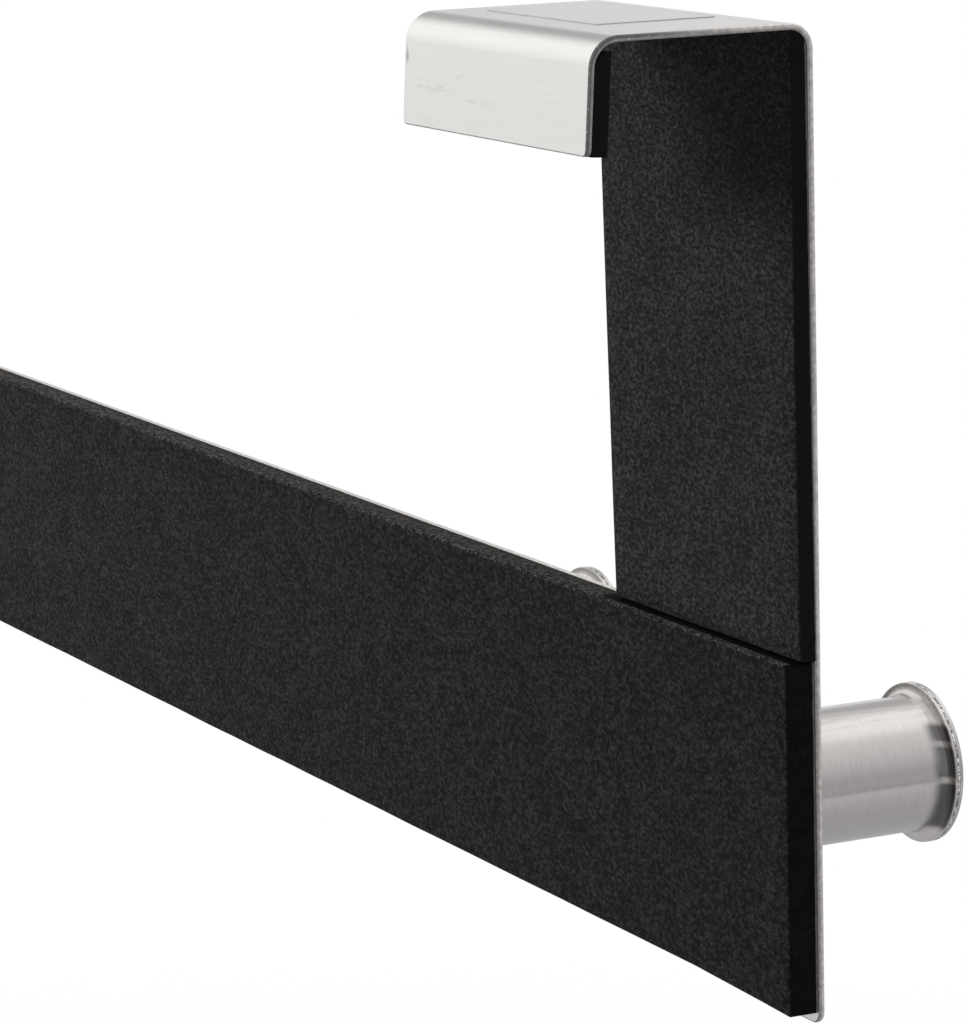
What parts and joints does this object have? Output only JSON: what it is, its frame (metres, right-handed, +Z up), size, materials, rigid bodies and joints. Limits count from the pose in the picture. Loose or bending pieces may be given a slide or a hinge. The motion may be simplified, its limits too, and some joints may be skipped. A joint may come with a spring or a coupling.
{
  "type": "over door hook",
  "caption": "Over-door rail of bent steel sheet, with foam-lined legs and lips and two pairs of flanged pegs on its front.",
  "frame": {"origin": "midway across the door slot, at the middle of the rail's length, on the plane of the bridges' undersides where the door's top edge bears", "axes": "+X along the rail, to the right as seen from the pegs' side; +Y from the rail through the door towards the lips; +Z up"},
  "size_m": [0.7406, 0.0887, 0.1827],
  "materials": {
    "sheet_steel": "brushed along the rail",
    "peg_steel": "brushed round the neck",
    "cap_steel": "brushed, welded round the rim",
    "fastener_steel": "bright zinc",
    "foam": "closed-cell foam, matt black",
    "patch": "thin satin film, plain"
  },
  "bodies": {
    "root": {"hook_sheet": "sheet_steel", "rail_pad": "foam", "leg_pad_left": "foam", "leg_pad_right": "foam", "lip_pad_left": "foam", "lip_pad_right": "foam", "top_patch": "patch", "peg_1": "peg_steel", "peg_cap_1": "cap_steel", "peg_screw_1": "fastener_steel", "peg_nut_1": "fastener_steel", "peg_2": "peg_steel", "peg_cap_2": "cap_steel", "peg_screw_2": "fastener_steel", "peg_nut_2": "fastener_steel", "peg_3": "peg_steel", "peg_cap_3": "cap_steel", "peg_screw_3": "fastener_steel", "peg_nut_3": "fastener_steel", "peg_4": "peg_steel", "peg_cap_4": "cap_steel", "peg_screw_4": "fastener_steel", "peg_nut_4": "fastener_steel"}
  },
  "joints": []
}
